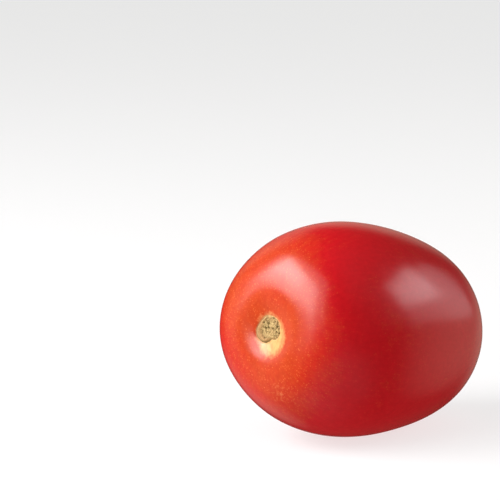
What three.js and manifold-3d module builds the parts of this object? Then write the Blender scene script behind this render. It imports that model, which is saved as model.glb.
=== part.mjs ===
// A plum tomato lying on its side, in millimetres. The origin is the middle of the small
// flat spot that it rests on, +Z is up, and +X points towards the stem end.

import * as THREE from 'three';
import { mergeVertices } from 'three/addons/utils/BufferGeometryUtils.js';
import Module from 'manifold-3d';

// The fruit's core runs from the blossom end to the stem end. At a polar angle from the
// stem end, the height along the core is HALF_LENGTH times the angle's cosine, and the
// radius is MIDDLE_RADIUS times its sine times 1 + TAPER c + FULLNESS c^2 + SKEW c^3 +
// BLUNTNESS c^6, where c is the cosine.
const HALF_LENGTH = 37.5;
const MIDDLE_RADIUS = 24.9;
const TAPER = 0.0625;
const FULLNESS = 0.098;
const SKEW = -0.236;
const BLUNTNESS = -0.322;
const CORE_TILT = THREE.MathUtils.degToRad(8.9); // how far the stem end is lifted

// Its cross-section is a circle changed by a wide and a three-lobed wave. Each wave has
// a share of the radius, and a turn about the core from straight up towards +Y.
const SPREAD_SHARE = 0.0085;
const SPREAD_TURN = THREE.MathUtils.degToRad(129);
const LOBE_SHARE = 0.0265;
const LOBE_TURN = THREE.MathUtils.degToRad(21.5);
const LOBE_START = -0.5; // the lobes fade in from here, as a cosine of the polar angle

// Round hollows, each with its radius and depth. The first one flattens the stem end to
// broad shoulders, the second is the funnel round the stem scar, and the third is the
// small pit at the blossom end.
const SHOULDER = { radius: 24.0, depth: 7.6 };
const FUNNEL = { radius: 10.5, depth: 2.7 };
const BLOSSOM_PIT = { radius: 3.5, depth: 0.4 };

// The corky scar that the stem left, raised in the middle of the funnel. Both lie a little
// to one side of the core.
const SCAR_RADIUS = 3.5;
const SCAR_RISE = 0.35;
const SCAR_EDGE = 0.8; // width of the step round the scar
const SCAR_SHIFT = 0.8;
const SCAR_TURN = THREE.MathUtils.degToRad(-115);

const SPOT_DEPTH = 0.6; // how much of the underside the flat spot takes off

// The surface is a grid of turns about the core and rows from the stem to the blossom.
const TURNS = 64;
const ROWS = 40;
const ROW_CROWDING = 1.35; // above 1, the rows are closer together at the stem end

const BLOCK = 120; // side of the block below the floor that cuts the flat spot
const ON_FLOOR = 1e-3; // a point closer than this to the floor is on the flat spot

const SKIN_COLOUR = 0xc4281b;
const SKIN_ROUGHNESS = 0.25;

const wasm = await Module();
wasm.setup();

/** A hollow's depth at a distance from its middle, falling smoothly to 0 at its rim. */
function depthOf(hollow, distance) {
  const share = Math.min(distance / hollow.radius, 1);
  return hollow.depth * (1 - share * share) ** 3;
}

/** How much the scar rises above the funnel at a distance from its middle. */
function scarRise(distance) {
  const edge = THREE.MathUtils.smoothstep(distance, SCAR_RADIUS - SCAR_EDGE, SCAR_RADIUS);
  return SCAR_RISE * (1 - edge);
}

/** The point of the fruit's surface at a polar angle from the stem and a turn from up. */
function surfacePoint(polar, turn) {
  const c = Math.cos(polar);
  const spread = SPREAD_SHARE * Math.cos(2 * (turn - SPREAD_TURN));
  const lobeStrength = THREE.MathUtils.smoothstep(c, LOBE_START, 1);
  const lobes = LOBE_SHARE * lobeStrength * Math.cos(3 * (turn - LOBE_TURN));
  const outline = 1 + TAPER * c + FULLNESS * c ** 2 + SKEW * c ** 3 + BLUNTNESS * c ** 6;
  const radius = MIDDLE_RADIUS * Math.sin(polar) * outline * (1 + spread + lobes);

  const side = radius * Math.sin(turn);
  const up = radius * Math.cos(turn);

  let height = HALF_LENGTH * c;
  if (c > 0) {
    const scarSide = side - SCAR_SHIFT * Math.sin(SCAR_TURN);
    const scarUp = up - SCAR_SHIFT * Math.cos(SCAR_TURN);
    const fromScar = Math.hypot(scarSide, scarUp);
    height += scarRise(fromScar) - depthOf(SHOULDER, radius) - depthOf(FUNNEL, fromScar);
  } else {
    height += depthOf(BLOSSOM_PIT, radius);
  }
  return new THREE.Vector3(height, side, up);
}

/** A sphere's grid of points moved onto the fruit's surface, with the core along +X. */
function wholeFruit() {
  const geometry = new THREE.SphereGeometry(1, TURNS, ROWS);
  const points = geometry.attributes.position;
  for (let i = 0; i < points.count; i += 1) {
    const share = Math.acos(THREE.MathUtils.clamp(points.getY(i), -1, 1)) / Math.PI;
    const turn = Math.atan2(points.getZ(i), points.getX(i));
    const point = surfacePoint(Math.PI * share ** ROW_CROWDING, turn);
    points.setXYZ(i, point.x, point.y, point.z);
  }
  return geometry;
}

/** A closed geometry as a solid that can be cut. */
function solidOf(geometry) {
  geometry.deleteAttribute('normal');
  geometry.deleteAttribute('uv');
  const merged = mergeVertices(geometry);
  return new wasm.Manifold(new wasm.Mesh({
    numProp: 3,
    vertProperties: merged.attributes.position.array,
    triVerts: new Uint32Array(merged.index.array),
  }));
}

/** A solid's faces as a geometry. */
function geometryOf(solid) {
  const mesh = solid.getMesh();
  const geometry = new THREE.BufferGeometry();
  geometry.setAttribute('position', new THREE.BufferAttribute(mesh.vertProperties, 3));
  geometry.setIndex(new THREE.BufferAttribute(mesh.triVerts, 1));
  return geometry;
}

/** The middle of the flat spot. */
function spotMiddle(geometry) {
  const spot = new THREE.Box3();
  const points = geometry.attributes.position;
  for (let i = 0; i < points.count; i += 1) {
    if (points.getZ(i) < ON_FLOOR) {
      spot.expandByPoint(new THREE.Vector3().fromBufferAttribute(points, i));
    }
  }
  return spot.getCenter(new THREE.Vector3());
}

/** The fruit, tilted and lowered onto the floor, less what the flat spot takes off. */
function restingFruit() {
  const fruit = wholeFruit();
  fruit.rotateY(-CORE_TILT);
  fruit.computeBoundingBox();
  fruit.translate(0, 0, -SPOT_DEPTH - fruit.boundingBox.min.z);

  const block = new THREE.BoxGeometry(BLOCK, BLOCK, BLOCK);
  block.translate(0, 0, -BLOCK / 2);

  const geometry = geometryOf(solidOf(fruit).subtract(solidOf(block)));
  const middle = spotMiddle(geometry);
  geometry.translate(-middle.x, -middle.y, 0);
  geometry.computeVertexNormals();
  return geometry;
}

const skin = new THREE.MeshStandardMaterial({
  color: SKIN_COLOUR,
  roughness: SKIN_ROUGHNESS,
  metalness: 0,
});

const tomato = new THREE.Mesh(restingFruit(), skin);
tomato.name = 'tomato';

const part = new THREE.Group();
part.add(tomato);

export default part;
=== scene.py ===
"""A ripe plum tomato lying on its side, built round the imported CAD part.

Lengths are in metres. The fruit's core runs from the blossom end to the stem end, and a
turn about the core is measured from straight up towards +Y, as in the CAD part.
"""

from math import cos, pi, radians, sin

import bpy
import numpy as np
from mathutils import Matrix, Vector, noise


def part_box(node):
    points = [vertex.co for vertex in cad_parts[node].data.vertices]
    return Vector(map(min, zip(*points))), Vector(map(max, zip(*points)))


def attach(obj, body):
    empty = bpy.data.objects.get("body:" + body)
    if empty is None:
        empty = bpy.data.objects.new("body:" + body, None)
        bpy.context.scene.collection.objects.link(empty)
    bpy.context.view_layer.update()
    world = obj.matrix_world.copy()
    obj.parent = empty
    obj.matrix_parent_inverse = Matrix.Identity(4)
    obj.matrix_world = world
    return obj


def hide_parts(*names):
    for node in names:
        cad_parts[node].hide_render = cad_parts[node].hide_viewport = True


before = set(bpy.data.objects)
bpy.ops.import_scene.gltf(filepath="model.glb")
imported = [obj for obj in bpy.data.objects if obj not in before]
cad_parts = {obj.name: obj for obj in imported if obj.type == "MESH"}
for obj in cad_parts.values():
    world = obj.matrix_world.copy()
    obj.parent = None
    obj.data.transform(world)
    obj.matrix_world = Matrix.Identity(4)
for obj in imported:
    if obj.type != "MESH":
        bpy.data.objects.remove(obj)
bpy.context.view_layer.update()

MM = 0.001

# The fruit's surface, as in the CAD part. At a polar angle from the stem end, the height
# along the core is HALF_LENGTH times the angle's cosine, and the radius is MIDDLE_RADIUS
# times its sine times a polynomial in the cosine.
HALF_LENGTH = 37.5 * MM
MIDDLE_RADIUS = 24.9 * MM
TAPER, FULLNESS, SKEW, BLUNTNESS = 0.0625, 0.098, -0.236, -0.322
CORE_TILT = radians(8.9)
SPREAD_SHARE, SPREAD_TURN = 0.0085, radians(129)
LOBE_SHARE, LOBE_TURN, LOBE_START = 0.0265, radians(21.5), -0.5
WAVE_SHARE, WAVES = 0.004, 2.4  # faint unevenness of the skin

# Round hollows, each as its radius and depth.
SHOULDER = (24.0 * MM, 7.6 * MM)
FUNNEL = (10.5 * MM, 2.7 * MM)
BLOSSOM_PIT = (3.5 * MM, 0.4 * MM)
SPOT_DEPTH = 0.6 * MM

# The stem scar: a rounded disc of cork with a smooth rim, which is broad on one side, and a
# cracked middle.
SCAR_RADIUS, SCAR_RISE, SCAR_EDGE = 3.5 * MM, 0.35 * MM, 0.8 * MM
SCAR_SHIFT = 0.8 * MM  # from the core towards the broad side
BROAD_TURN = radians(-115)
# Its outline: an average share of the radius, waves, each with how many go round, their share
# and their phase from the broad side, and one notch.
OUTLINE_AVERAGE = 0.98
OUTLINE_WAVES = ((1, 0.07, 0.0), (2, 0.07, 0.0), (3, 0.03, 0.6), (5, 0.02, -1.1))
NOTCH_SHARE, NOTCH_TURN, NOTCH_WIDTH = 0.2, radians(165), radians(20)
CORK_BLUR = 0.3 * MM  # width of the change from cork to skin at the outline
# The rim starts at a share of the way to the outline, on average, and RIM_SWING nearer to the
# middle on the broad side. The cracks fade out CRACK_REACH past its start.
RIM_RISE, RIM_START, RIM_SWING, RIM_BLUR = 0.12 * MM, 0.67, 0.19, 0.15
CRACK_DEPTH, CRACK_REACH = 0.28 * MM, 0.08
# Winding cracks lie where one noise is near 0, and pits where another is high.
CORK_GRAIN = 0.62 * MM  # size of the noises' features
WINDING_WIDTH, WINDING_STRENGTH = 0.18, 0.7
PIT_PLACE, PIT_SPACING, PIT_START, PIT_BLUR = Vector((7, 3, 1)), 0.9, 0.27, 0.15
# The edge crack also darkens the cork's colour, most on the broad side; that darkness is partly
# painted shade.
BRINK_WIDTH, BRINK_STRENGTH = 0.2 * MM, 0.4  # a crack along the edge of the broad side
GROOVE_DEPTH, GROOVE_WIDTH = 0.10 * MM, 0.35 * MM  # between the scar and the skin
BLOSSOM_TIP = (0.75 * MM, 0.3 * MM)  # radius and rise of the dry point at the blossom end

# How far the orange and the yellow skin reach from the scar: on average, then what is added
# once and twice a turn, each with the turn at which it is most, and the step's half width.
ORANGE_REACH = (20 * MM, 3.5 * MM, radians(-20), 4.5 * MM, radians(155), 9 * MM)
YELLOW_REACH = (4.6 * MM, 1.5 * MM, radians(145), 0.5 * MM, radians(150), 2.0 * MM)
# A faint golden blotch: its distance from the scar, turn, radius and strength.
BLOTCH = (17.0 * MM, radians(160), 4.5 * MM, 0.22)
# The skin's faint streaks run away from the scar: their ring is the distance at which they
# have their true width, and they are STREAK_LENGTH times as long as wide.
STREAK_RING, STREAK_LENGTH = 10 * MM, 7.0

TURNS = 288
ROWS = 220
# Within about these polar angles of the scar and of the blossom end, the rows are up to
# 1 + CROWDING times as close as elsewhere.
SCAR_ANGLE, BLOSSOM_ANGLE, CROWDING = 0.27, 0.07, 5
ANGLE_STEPS = 4000  # for summing how close the rows are

# The camera looks from AZIMUTH, turned from -Y towards +X, and PITCH above the floor. It aims
# to the left of the fruit's middle and above it.
AZIMUTH, PITCH = radians(132.53), radians(10)
DISTANCE = 0.650
AIM_LEFT, AIM_UP = 25.7 * MM, 17.24 * MM
LENS = 200.0

# Soft boxes: degrees from the camera's azimuth, degrees above the floor, degrees of roll,
# distance, width, height and radiance.
SOFT_BOXES = {
    "key": (-71, 33, -12, 0.60, 0.65, 0.40, 4.6),
    "key_middle": (-79, 36, -10, 0.59, 0.36, 0.21, 3.6),
    "key_spread": (-66, 38.5, 6, 0.62, 0.96, 0.58, 1.7),
    "rear": (103, 26, -4, 0.60, 0.37, 0.20, 2.5),
    "rear_spread": (111, 16, -8, 0.62, 0.56, 0.30, 0.9),
}
LIGHT_COLOUR = (1.0, 0.93, 0.94)
# Wide fills with no gloss of their own, each FILL_SPREAD across: degrees from the camera's
# azimuth, degrees above the floor, and strength.
FILL_SPREAD = radians(80)
FILLS = {
    "bounce": (8, -45, 1.65),
    "bounce_left": (-108, -60, 1.5),
    "side": (95, 45, 0.85),
}
FLOOR_RADIUS, COVE_RADIUS, WALL_HEIGHT, FLOOR_TURNS, COVE_STEPS = 3.0, 1.5, 4.0, 64, 8
FLOOR_COLOUR, FLOOR_GLOW = (0.295, 0.305, 0.305, 1), 0.7
ROOM_COLOUR = (1.0, 0.89, 0.72, 1)
ROOM_STRENGTH = 0.05
# Pale parts of the room: degrees from the camera's azimuth, degrees above the floor, degrees
# from the middle to the edge, and what each adds in its middle.
ROOM_PATCHES = {
    "wall_key": (-110, 7, 28, 0.45),
    "wall_left": (-156, 22, 20, 0.44),
    "wall_right": (176, 9, 18, 0.42),
    "table_right": (112, -13, 33, 0.50),
    "table_far": (150, -11, 18, 0.42),
    "table_left": (-100, -16, 30, 0.36),
    "table_behind": (-140, -37, 26, 0.55),
}

RED = (0.565, 0.006, 0.012, 1)
ORANGE = (0.53, 0.053, 0.012, 1)
YELLOW = (0.75, 0.42, 0.15, 1)
SPECK = (0.78, 0.21, 0.055, 1)
CORK = (0.61, 0.455, 0.185, 1)
CORK_DARK = (0.40, 0.26, 0.10, 1)
CORK_RIM = (0.42, 0.215, 0.08, 1)
# The cracks' dark olive brown: partly the cork's own colour, partly painted shade in the crevices.
CORK_CRACK_AND_SHADE = (0.15, 0.10, 0.02, 1)
# What the dark and the pale parts of the mottling and of the streaks multiply the skin by.
MOTTLING = ((0.93, 0.88, 0.88, 1), (1.04, 1.08, 1.05, 1))
STREAKING = ((0.97, 0.95, 0.95, 1), (1.02, 1.03, 1.02, 1))

# Noises of the material, each as features per metre and detail.
WIDE_PATCHES = (110.0, 3.0)
FINE_PATCHES = (900.0, 4.0)
STREAKS = (3200.0, 3.0)
GLOSS_PATCHES = (260.0, 3.0)
PORES = (900.0, 2.0)
GRAIN = (2200.0, 4.0)
# The least and the most that a noise adds to how orange or how yellow the skin is.
WIDE_ORANGE, STREAKED_ORANGE, FINE_YELLOW = (-0.5, 0.4), (-0.4, 0.3), (-0.4, 0.4)

# The values between which each noise goes from its one effect to the other.
PATTERN_RANGE, GRAIN_RANGE, GLOSS_RANGE = (0.3, 0.7), (0.35, 0.65), (0.25, 0.75)
# The shares between which the skin turns orange and yellow, the specks fade in with the orange,
# and the cracks darken, partly with the cork's own dark colour and partly with painted shade.
ORANGE_RANGE, YELLOW_RANGE = (0.0, 1.0), (0.2, 1.0)
SPECK_RANGE, CRACK_AND_SHADE_RANGE = (-0.2, 0.8), (0.1, 0.9)

# Specks: how many to a metre, where a dot ends and where it is full, as shares of a cell, and
# the random numbers, from 0 to 1, up to which a cell is bare and at which its dot is strongest.
SPECK_SCALE, SPECK_END, SPECK_FULL = 2200.0, 0.42, 0.12
SPECK_BARE, SPECK_BRIGHT = 0.2, 1.0
SPECK_STRENGTH = 0.62
RIM_STRENGTH = 0.65
SKIN_IOR = 1.5
SKIN_ROUGHNESS, CORK_ROUGHNESS = (0.20, 0.27), 0.8
BUMP_STRENGTH, BUMP_HEIGHT = 0.25, 0.05 * MM


def smooth(x):
    """0 below 0, 1 above 1, and a smooth step between."""
    x = np.clip(x, 0.0, 1.0)
    return x * x * (3 - 2 * x)


def hollow(size, distance):
    """Depth of a round hollow at a distance from its middle."""
    radius, depth = size
    return depth * (1 - np.minimum(distance / radius, 1.0) ** 2) ** 3


def waves(polar, turn):
    """Faint unevenness of the radius, as a share of it."""
    directions = np.stack(np.broadcast_arrays(
        np.cos(polar), np.sin(polar) * np.sin(turn), np.sin(polar) * np.cos(turn)), -1)
    heights = [noise.noise(Vector(d) * WAVES) for d in directions.reshape(-1, 3)]
    return WAVE_SHARE * np.array(heights).reshape(directions.shape[:-1])


def crack_share(side, up):
    """How deep a point of the scar lies in a winding crack or a pit, from 0 to 1."""
    place = Vector((side, up, 0)) / CORK_GRAIN
    winding = 1 - smooth(abs(noise.noise(place)) / WINDING_WIDTH)
    pit = smooth((noise.noise(PIT_SPACING * place + PIT_PLACE) - PIT_START) / PIT_BLUR)
    return max(WINDING_STRENGTH * winding, pit)


def scar_outline(turn):
    """Distance of the scar's outline from its middle."""
    share = OUTLINE_AVERAGE
    for count, wave_share, phase in OUTLINE_WAVES:
        share = share + wave_share * np.cos(count * (turn - BROAD_TURN) + phase)
    notch = np.exp((np.cos(turn - NOTCH_TURN) - 1) / NOTCH_WIDTH**2)
    return SCAR_RADIUS * (share - NOTCH_SHARE * notch)


def scar_parts(radius, turn):
    """The scar's rise, and how far each point is cork, rim and crack, from 0 to 1. The crack share
    also darkens the cork, partly as painted shade.
    """
    edge = scar_outline(turn)
    broad = np.cos(turn - BROAD_TURN)
    inside = 1 - smooth((radius - edge + SCAR_EDGE) / SCAR_EDGE)
    cork = 1 - smooth((radius - edge + CORK_BLUR / 2) / CORK_BLUR)
    share = radius / edge
    rim_start = RIM_START - RIM_SWING * broad
    rim = smooth((share - rim_start) / RIM_BLUR) * inside
    crack_and_shade = np.zeros(radius.shape)
    for i in np.argwhere(share < 1):
        i = tuple(i)
        crack_and_shade[i] = crack_share(radius[i] * sin(turn[i]), radius[i] * cos(turn[i]))
    crack_and_shade *= 1 - smooth((share - rim_start - CRACK_REACH) / RIM_BLUR)
    # Along the outline a crack, deepest on the broad side; where it darkens the colour, this is
    # partly painted shade.
    brink = np.exp(-(((radius - edge + BRINK_WIDTH) / BRINK_WIDTH) ** 2))
    crack_and_shade = np.maximum(crack_and_shade, brink * BRINK_STRENGTH * (1 + broad))
    groove = GROOVE_DEPTH * np.exp(-(((radius - edge) / GROOVE_WIDTH) ** 2))
    rise = SCAR_RISE * inside + RIM_RISE * rim - CRACK_DEPTH * crack_and_shade - groove
    return rise, cork, rim, crack_and_shade


def reach_share(distance, turn, reach):
    """1 near the scar and 0 far from it, with the step at a reach that swings with turn."""
    average, once, once_turn, twice, twice_turn, blur = reach
    step = average + once * np.cos(turn - once_turn) + twice * np.cos(2 * (turn - twice_turn))
    return 1 - smooth((distance - step + blur) / (2 * blur))


def blotch_share(distance, turn):
    """The blotch's strength in its middle, fading to 0 around it."""
    middle, middle_turn, radius, strength = BLOTCH
    across = middle * np.sin(turn - middle_turn)
    same_side = np.cos(turn - middle_turn) > 0
    return strength * same_side * np.exp(-((distance - middle) ** 2 + across**2) / radius**2)


def row_angles():
    """Polar angles of the rows, closer together at the scar and at the blossom end."""
    angle = np.linspace(0, pi, ANGLE_STEPS + 1)
    near_scar = np.exp(-((angle / SCAR_ANGLE) ** 4))
    near_blossom = np.exp(-(((pi - angle) / BLOSSOM_ANGLE) ** 4))
    density = 1 + CROWDING * (near_scar + near_blossom)
    share = np.cumsum(density) - density[0]
    return np.interp(np.linspace(0, 1, ROWS + 1), share / share[-1], angle)


def fruit_surface(polar, turn):
    """Points of the fruit with its core along +X, their places in the streaks, and shares."""
    c = np.cos(polar)
    spread = SPREAD_SHARE * np.cos(2 * (turn - SPREAD_TURN))
    lobe_strength = smooth((c - LOBE_START) / (1 - LOBE_START))
    lobes = LOBE_SHARE * lobe_strength * np.cos(3 * (turn - LOBE_TURN))
    outline = 1 + TAPER * c + FULLNESS * c**2 + SKEW * c**3 + BLUNTNESS * c**6
    radius = MIDDLE_RADIUS * np.sin(polar) * outline * (1 + spread + lobes + waves(polar, turn))

    stem_half = c > 0
    side = radius * np.sin(turn) - SCAR_SHIFT * sin(BROAD_TURN)
    up = radius * np.cos(turn) - SCAR_SHIFT * cos(BROAD_TURN)
    from_scar, scar_turn = np.hypot(side, up), np.arctan2(side, up)
    scar_rise, cork, rim, crack_and_shade = scar_parts(from_scar, scar_turn)
    stem_end = scar_rise - hollow(SHOULDER, radius) - hollow(FUNNEL, from_scar)
    blossom_end = hollow(BLOSSOM_PIT, radius) - hollow(BLOSSOM_TIP, radius)
    height = HALF_LENGTH * c + np.where(stem_half, stem_end, blossom_end)

    distance = np.hypot(from_scar, HALF_LENGTH * (1 - c))
    tip = 1 - smooth(radius / BLOSSOM_TIP[0])
    streak = np.stack([
        STREAK_RING * np.sin(scar_turn), STREAK_RING * np.cos(scar_turn),
        distance / STREAK_LENGTH], -1)
    shares = {
        "cork": np.where(stem_half, cork, tip),
        "rim": np.where(stem_half, rim, 0.0),
        "crack_and_shade": np.where(stem_half, crack_and_shade, 0.0),
        "orange": reach_share(distance, scar_turn, ORANGE_REACH),
        "yellow": np.maximum(
            reach_share(distance, scar_turn, YELLOW_REACH), blotch_share(distance, scar_turn)),
    }
    points = np.stack([height, radius * np.sin(turn), radius * np.cos(turn)], -1)
    return points, streak, shares


def grid_faces(rows, turns):
    """Faces of a closed grid: a first point, rows of points round the core, a last point."""
    last = 1 + rows * turns
    faces = []
    for column in range(turns):
        after = (column + 1) % turns
        faces.append((0, 1 + after, 1 + column))
        for row in range(rows - 1):
            here, below = 1 + row * turns, 1 + (row + 1) * turns
            faces.append((here + column, here + after, below + after, below + column))
        end = 1 + (rows - 1) * turns
        faces.append((last, end + column, end + after))
    return faces


def rest_on_floor(points):
    """Tilt the core, set the flat spot on the floor and centre the fruit in the CAD part's box."""
    along, up = points[:, 0].copy(), points[:, 2].copy()
    points[:, 0] = along * cos(CORE_TILT) - up * sin(CORE_TILT)
    points[:, 2] = along * sin(CORE_TILT) + up * cos(CORE_TILT)
    points[:, 2] = np.maximum(points[:, 2] - points[:, 2].min() - SPOT_DEPTH, 0)
    low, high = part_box("tomato")
    for axis in (0, 1):
        middle = (points[:, axis].min() + points[:, axis].max()) / 2
        points[:, axis] += (low[axis] + high[axis]) / 2 - middle


def make_fruit():
    """The whole fruit as one closed mesh, with the shares that its material reads."""
    polar, turn = np.meshgrid(
        row_angles()[1:-1], 2 * pi * np.arange(TURNS) / TURNS, indexing="ij")
    points, streak, shares = fruit_surface(polar, turn)
    first, first_streak, first_shares = fruit_surface(np.zeros(1), np.zeros(1))
    last, last_streak, last_shares = fruit_surface(np.full(1, pi), np.zeros(1))
    points = np.vstack([first, points.reshape(-1, 3), last])
    streak = np.vstack([first_streak, streak.reshape(-1, 3), last_streak])
    rest_on_floor(points)

    mesh = bpy.data.meshes.new("tomato_skin")
    mesh.from_pydata(points.tolist(), [], grid_faces(len(polar), TURNS))
    mesh.attributes.new("streak", "FLOAT_VECTOR", "POINT").data.foreach_set(
        "vector", streak.ravel())
    for name, share in shares.items():
        values = np.concatenate([first_shares[name], share.ravel(), last_shares[name]])
        mesh.attributes.new(name, "FLOAT", "POINT").data.foreach_set("value", values)
    mesh.shade_smooth()
    mesh.materials.append(skin_material())
    fruit = bpy.data.objects.new("tomato_skin", mesh)
    bpy.context.scene.collection.objects.link(fruit)
    return fruit


class Nodes:
    """Short ways to add nodes to a tree. An input is a socket to link or a plain value."""

    def __init__(self, tree):
        self.tree = tree

    def add(self, kind, settings=None, **inputs):
        node = self.tree.nodes.new(kind)
        for name, value in (settings or {}).items():
            setattr(node, name, value)
        for name, value in inputs.items():
            self.put(node.inputs[name.replace("_", " ")], value)
        return node

    def put(self, socket, value):
        """Link or set one input."""
        if isinstance(value, bpy.types.NodeSocket):
            self.tree.links.new(value, socket)
        else:
            socket.default_value = value

    def share(self, name):
        """A share painted on the mesh."""
        return self.add("ShaderNodeAttribute", {"attribute_name": name}).outputs["Fac"]

    def noise(self, place, kind):
        """Noise from 0 to 1, with its features per metre and its detail."""
        scale, detail = kind
        made = self.add("ShaderNodeTexNoise", Vector=place, Scale=scale, Detail=detail)
        return made.outputs["Fac"]

    def remap(self, value, low, high, to_low=0.0, to_high=1.0):
        """A value moved evenly from one range to another, and kept inside it."""
        made = self.add("ShaderNodeMapRange", Value=value, From_Min=low, From_Max=high,
                        To_Min=to_low, To_Max=to_high)
        return made.outputs["Result"]

    def vary(self, value, fraction, added):
        """A value plus what a fraction from 0 to 1 picks between two added amounts."""
        return self.math("ADD", value, self.remap(fraction, 0, 1, *added))

    def math(self, operation, a, b):
        node = self.tree.nodes.new("ShaderNodeMath")
        node.operation = operation
        self.put(node.inputs[0], a)
        self.put(node.inputs[1], b)
        return node.outputs["Value"]

    def dot(self, a, b):
        node = self.add("ShaderNodeVectorMath", {"operation": "DOT_PRODUCT"})
        self.put(node.inputs[0], a)
        self.put(node.inputs[1], b)
        return node.outputs["Value"]

    def mix(self, share, a, b, blend="MIX"):
        node = self.tree.nodes.new("ShaderNodeMix")
        node.data_type = "RGBA"
        node.blend_type = blend
        self.put(node.inputs[0], share)
        self.put(node.inputs[6], a)
        self.put(node.inputs[7], b)
        return node.outputs[2]


def specks(nodes, place):
    """Small dots of uneven strength, at most 1, in most cells of an uneven grid."""
    cells = nodes.add("ShaderNodeTexVoronoi", Vector=place, Scale=SPECK_SCALE, Randomness=1.0)
    dot = nodes.remap(cells.outputs["Distance"], SPECK_END, SPECK_FULL)
    chance = nodes.add("ShaderNodeSeparateColor", Color=cells.outputs["Color"]).outputs["Red"]
    return nodes.math("MULTIPLY", dot, nodes.remap(chance, SPECK_BARE, SPECK_BRIGHT))


def skin_colour(nodes, place):
    """Red skin, orange and then yellow towards the scar, with specks, streaks and mottling."""
    wide = nodes.noise(place, WIDE_PATCHES)
    fine = nodes.noise(place, FINE_PATCHES)
    streak_place = nodes.add("ShaderNodeAttribute", {"attribute_name": "streak"})
    streaks = nodes.noise(streak_place.outputs["Vector"], STREAKS)

    orange = nodes.vary(nodes.share("orange"), wide, WIDE_ORANGE)
    orange = nodes.vary(orange, streaks, STREAKED_ORANGE)
    yellow = nodes.vary(nodes.share("yellow"), fine, FINE_YELLOW)
    speck_strength = nodes.remap(orange, *SPECK_RANGE, 0.0, SPECK_STRENGTH)
    speck = nodes.math("MULTIPLY", specks(nodes, place), speck_strength)

    colour = nodes.mix(nodes.remap(orange, *ORANGE_RANGE), RED, ORANGE)
    colour = nodes.mix(speck, colour, SPECK)
    colour = nodes.mix(nodes.remap(yellow, *YELLOW_RANGE), colour, YELLOW)
    for pattern, (dark, pale) in ((fine, MOTTLING), (streaks, STREAKING)):
        tint = nodes.mix(nodes.remap(pattern, *PATTERN_RANGE), dark, pale)
        colour = nodes.mix(1.0, colour, tint, "MULTIPLY")
    return colour


def cork_colour(nodes, place):
    """Brown to pale tan cork with a browner rim, and olive brown in the cracks, partly the cork's
    own colour and partly painted shade.
    """
    grain = nodes.noise(place, GRAIN)
    rim = nodes.math("MULTIPLY", nodes.share("rim"), RIM_STRENGTH)
    colour = nodes.mix(nodes.remap(grain, *GRAIN_RANGE), CORK_DARK, CORK)
    colour = nodes.mix(rim, colour, CORK_RIM)
    # Darker where the cracks are deep: partly the cork's own colour, partly painted shade in the
    # crevices.
    return nodes.mix(nodes.remap(nodes.share("crack_and_shade"), *CRACK_AND_SHADE_RANGE), colour, CORK_CRACK_AND_SHADE)


def skin_material():
    """Glossy skin, and dull cork where the stem was."""
    material = bpy.data.materials.new("tomato_skin")
    material.use_nodes = True
    nodes = Nodes(material.node_tree)
    place = nodes.add("ShaderNodeTexCoord").outputs["Object"]
    cork = nodes.share("cork")

    shader = material.node_tree.nodes["Principled BSDF"]
    shader.inputs["IOR"].default_value = SKIN_IOR
    colour = nodes.mix(cork, skin_colour(nodes, place), cork_colour(nodes, place))
    nodes.put(shader.inputs["Base Color"], colour)

    gloss = nodes.noise(place, GLOSS_PATCHES)
    skin_roughness = nodes.remap(gloss, *GLOSS_RANGE, *SKIN_ROUGHNESS)
    roughness = nodes.remap(cork, 0, 1, skin_roughness, CORK_ROUGHNESS)
    nodes.put(shader.inputs["Roughness"], roughness)

    pores = nodes.noise(place, PORES)
    bump = nodes.add(
        "ShaderNodeBump", Height=pores, Strength=BUMP_STRENGTH, Distance=BUMP_HEIGHT)
    nodes.put(shader.inputs["Normal"], bump.outputs["Normal"])
    return material


def around(centre, azimuth, elevation, distance):
    """The point at a distance from the centre, azimuth turned from -Y towards +X."""
    level = Vector((sin(azimuth), -cos(azimuth), 0)) * cos(elevation)
    return centre + distance * (level + Vector((0, 0, sin(elevation))))


def look_at(looker, target):
    """Turn a camera or a light towards a point."""
    looker.rotation_euler = (target - looker.location).to_track_quat("-Z", "Y").to_euler()


def make_camera(centre):
    """The camera, aimed beside the fruit's middle."""
    toward = (around(centre, AZIMUTH, PITCH, 1) - centre).normalized()
    right = Vector((0, 0, 1)).cross(toward).normalized()
    aim = centre - right * AIM_LEFT + toward.cross(right) * AIM_UP
    data = bpy.data.cameras.new("camera")
    data.lens = LENS
    camera = bpy.data.objects.new("camera", data)
    bpy.context.scene.collection.objects.link(camera)
    camera.location = aim + toward * DISTANCE
    look_at(camera, aim)
    bpy.context.scene.camera = camera


def make_soft_box(name, centre, turned, elevation, roll, distance, width, height, radiance):
    """A rectangular light, whose reflection shows in the fruit's gloss."""
    data = bpy.data.lights.new(name, "AREA")
    data.shape = "RECTANGLE"
    data.size, data.size_y = width, height
    data.energy = radiance * width * height * pi
    data.color = LIGHT_COLOUR
    light = bpy.data.objects.new(name, data)
    bpy.context.scene.collection.objects.link(light)
    light.location = around(centre, AZIMUTH + radians(turned), radians(elevation), distance)
    look_at(light, centre)
    light.rotation_euler.rotate_axis("Z", radians(roll))


def make_fill(name, centre, turned, elevation, strength):
    """A wide light that doesn't show in the fruit's gloss."""
    data = bpy.data.lights.new(name, "SUN")
    data.energy = strength
    data.angle = FILL_SPREAD
    light = bpy.data.objects.new(name, data)
    light.visible_glossy = False
    bpy.context.scene.collection.objects.link(light)
    light.location = around(centre, AZIMUTH + radians(turned), radians(elevation), 1)
    look_at(light, centre)


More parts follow.
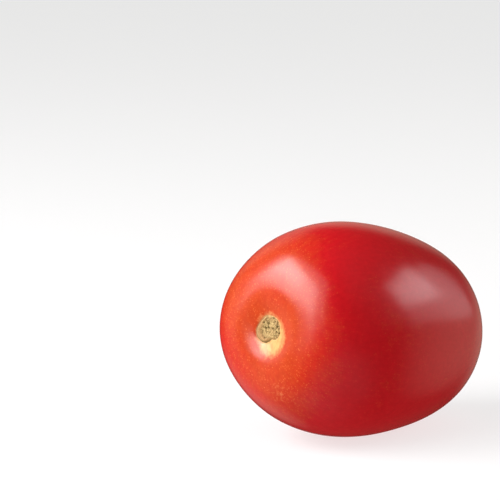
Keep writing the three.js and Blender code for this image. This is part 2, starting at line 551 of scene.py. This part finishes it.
def make_world():
    """A dim room with a few paler patches."""
    world = bpy.data.worlds.new("room")
    world.use_nodes = True
    nodes = Nodes(world.node_tree)
    place = nodes.add("ShaderNodeTexCoord").outputs["Generated"]
    strength = ROOM_STRENGTH
    for turned, elevation, reach, added in ROOM_PATCHES.values():
        middle = around(Vector(), AZIMUTH + radians(turned), radians(elevation), 1)
        nearness = nodes.dot(place, middle)
        patch = nodes.remap(nearness, cos(radians(reach)), 1, 0.0, added)
        strength = nodes.math("ADD", strength, patch)
    nodes.put(world.node_tree.nodes["Background"].inputs["Color"], ROOM_COLOUR)
    nodes.put(world.node_tree.nodes["Background"].inputs["Strength"], strength)
    bpy.context.scene.world = world


def floor_mesh():
    """A flat round floor that curves up to a wall all round."""
    bend = np.linspace(0, pi / 2, COVE_STEPS + 1)
    distances = [*(FLOOR_RADIUS + COVE_RADIUS * np.sin(bend)), FLOOR_RADIUS + COVE_RADIUS]
    heights = [*(COVE_RADIUS * (1 - np.cos(bend))), WALL_HEIGHT]
    points = [
        (distance * cos(turn), distance * sin(turn), height)
        for distance, height in zip(distances, heights)
        for turn in 2 * pi * np.arange(FLOOR_TURNS) / FLOOR_TURNS]
    faces = [tuple(range(FLOOR_TURNS))]
    for ring in range(len(distances) - 1):
        start = ring * FLOOR_TURNS
        for here in range(FLOOR_TURNS):
            after = (here + 1) % FLOOR_TURNS
            faces.append((start + here, start + FLOOR_TURNS + here,
                          start + FLOOR_TURNS + after, start + after))
    mesh = bpy.data.meshes.new("floor")
    mesh.from_pydata(points, [], faces)
    return mesh


def make_floor():
    """A pale floor. The room's pale patches stand for it in the fruit's gloss."""
    material = bpy.data.materials.new("floor")
    material.use_nodes = True
    shader = material.node_tree.nodes["Principled BSDF"]
    shader.inputs["Base Color"].default_value = FLOOR_COLOUR
    shader.inputs["Roughness"].default_value = 1.0
    shader.inputs["Specular IOR Level"].default_value = 0.0
    shader.inputs["Emission Color"].default_value = (1, 1, 1, 1)
    shader.inputs["Emission Strength"].default_value = FLOOR_GLOW
    mesh = floor_mesh()
    mesh.materials.append(material)
    floor = bpy.data.objects.new("floor", mesh)
    bpy.context.scene.collection.objects.link(floor)
    floor.visible_glossy = False
    floor.visible_diffuse = False
    floor.visible_shadow = False


fruit = make_fruit()
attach(fruit, "root")
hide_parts("tomato")

low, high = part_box("tomato")
centre = (Vector(low) + Vector(high)) / 2
make_camera(centre)
for name, place in SOFT_BOXES.items():
    make_soft_box(name, centre, *place)
for name, place in FILLS.items():
    make_fill(name, centre, *place)
make_world()
make_floor()
bpy.context.scene.view_settings.view_transform = "Standard"
